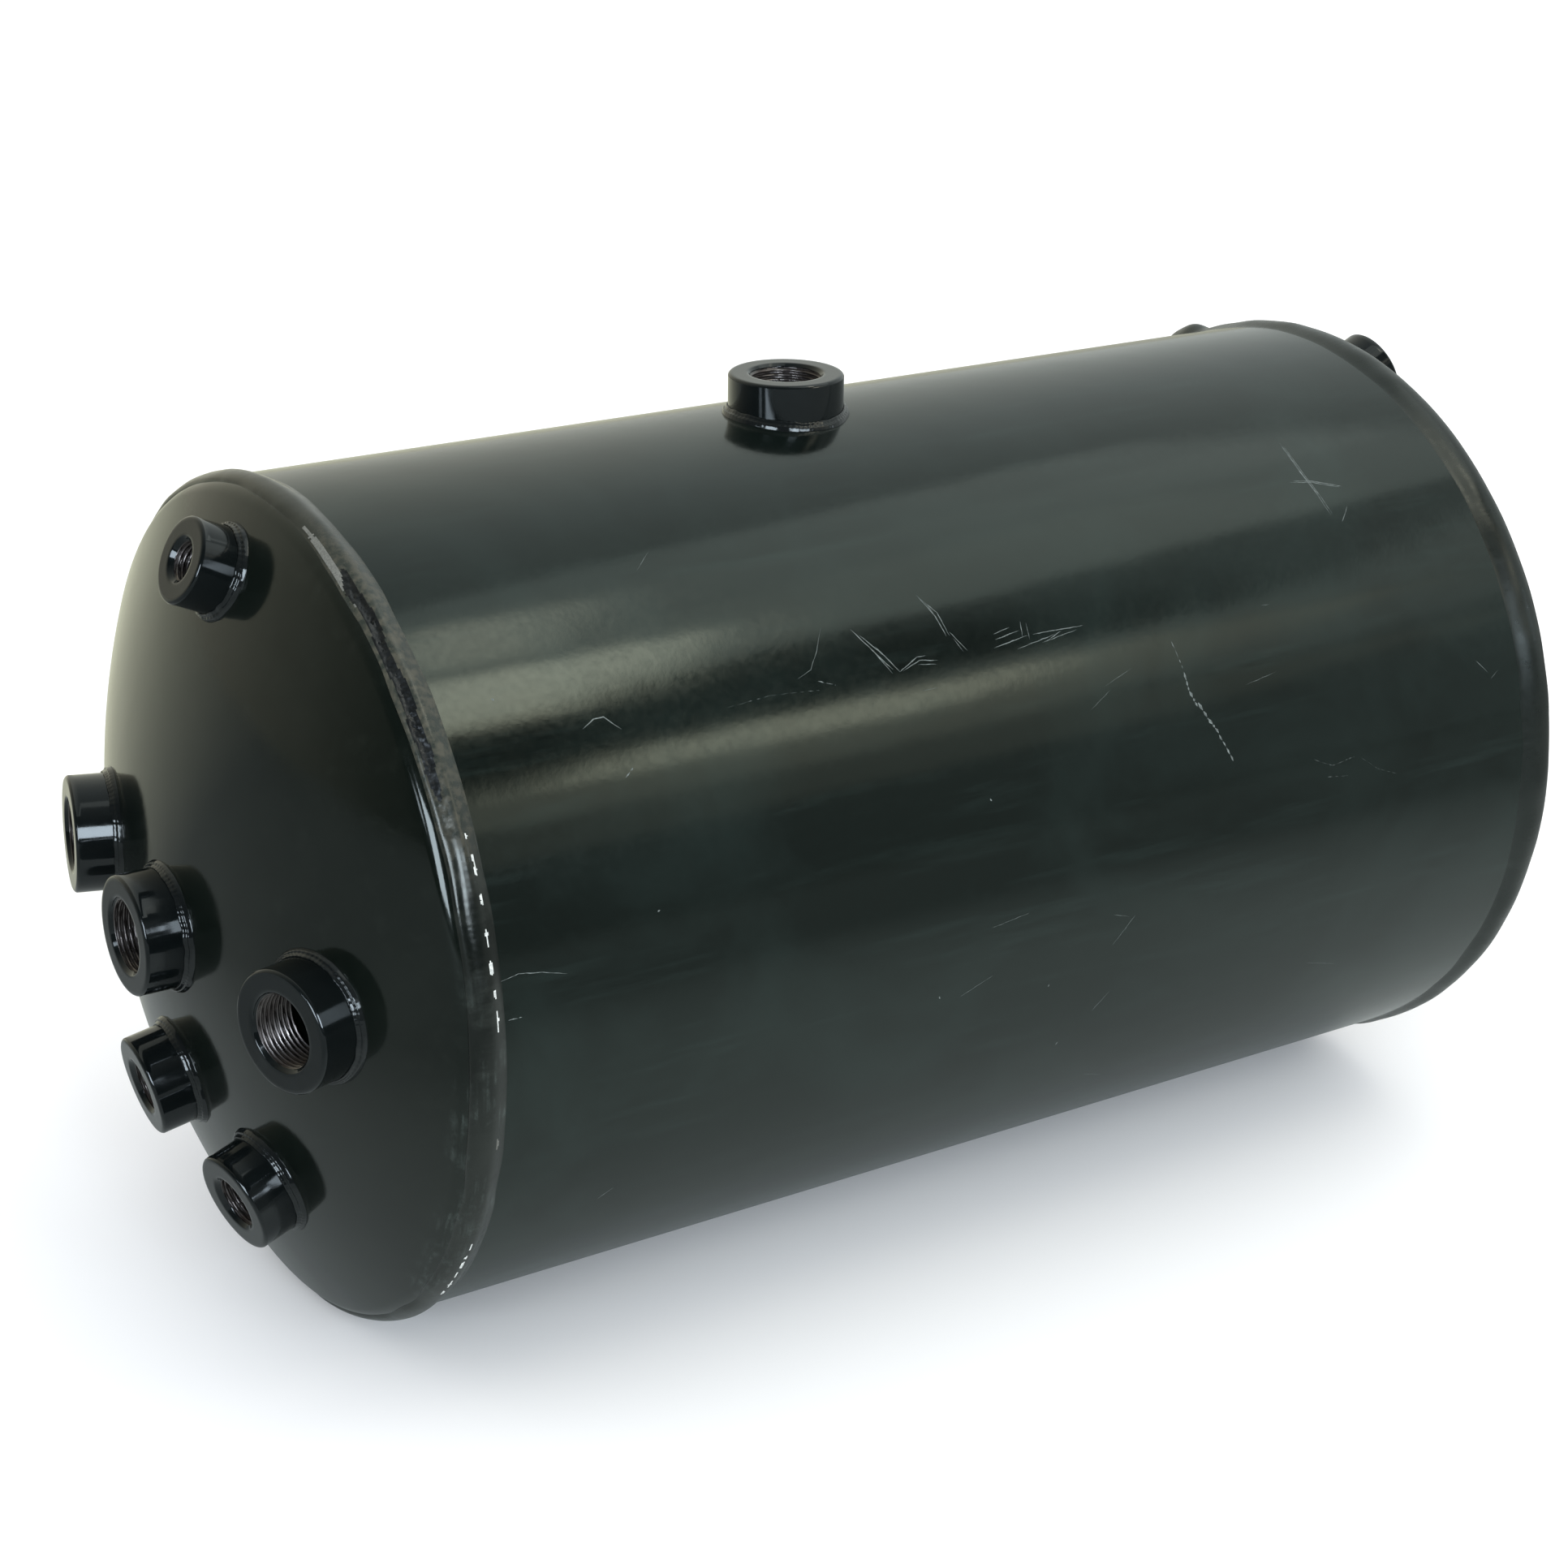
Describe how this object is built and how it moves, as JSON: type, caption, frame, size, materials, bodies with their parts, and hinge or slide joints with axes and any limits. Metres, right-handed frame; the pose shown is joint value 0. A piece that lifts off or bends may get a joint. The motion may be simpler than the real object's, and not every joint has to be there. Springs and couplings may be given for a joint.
{
  "type": "compressed air reservoir",
  "caption": "Welded steel air reservoir: black painted cylinder with dished ends, girth weld beads and round threaded weld bosses on both ends and the shell.",
  "frame": {"origin": "on the tank's axis, midway between the two girth welds", "axes": "+X along the tank's axis away from the six-port head; +Z the way the shell's port points"},
  "size_m": [0.4659, 0.2508, 0.2604],
  "materials": {
    "shell_paint": "semi-gloss black paint with faint orange peel",
    "head_paint": "satin black paint",
    "weld_paint": "glossy black paint over rippled weld bead",
    "boss_paint": "glossy black paint on turned steel, bare thread inside"
  },
  "bodies": {
    "root": {"shell": "shell_paint", "seam_weld": "weld_paint", "near_head": "head_paint", "far_head": "head_paint", "near_girth_weld": "weld_paint", "far_girth_weld": "weld_paint", "boss_near_centre": "boss_paint", "weld_ring_near_centre": "weld_paint", "boss_near_side": "boss_paint", "weld_ring_near_side": "weld_paint", "boss_near_back": "boss_paint", "weld_ring_near_back": "weld_paint", "boss_near_bottom": "boss_paint", "weld_ring_near_bottom": "weld_paint", "boss_near_low": "boss_paint", "weld_ring_near_low": "weld_paint", "boss_near_top": "boss_paint", "weld_ring_near_top": "weld_paint", "boss_far_top": "boss_paint", "weld_ring_far_top": "weld_paint", "boss_shell_top": "boss_paint", "weld_ring_shell_top": "weld_paint"}
  },
  "joints": []
}
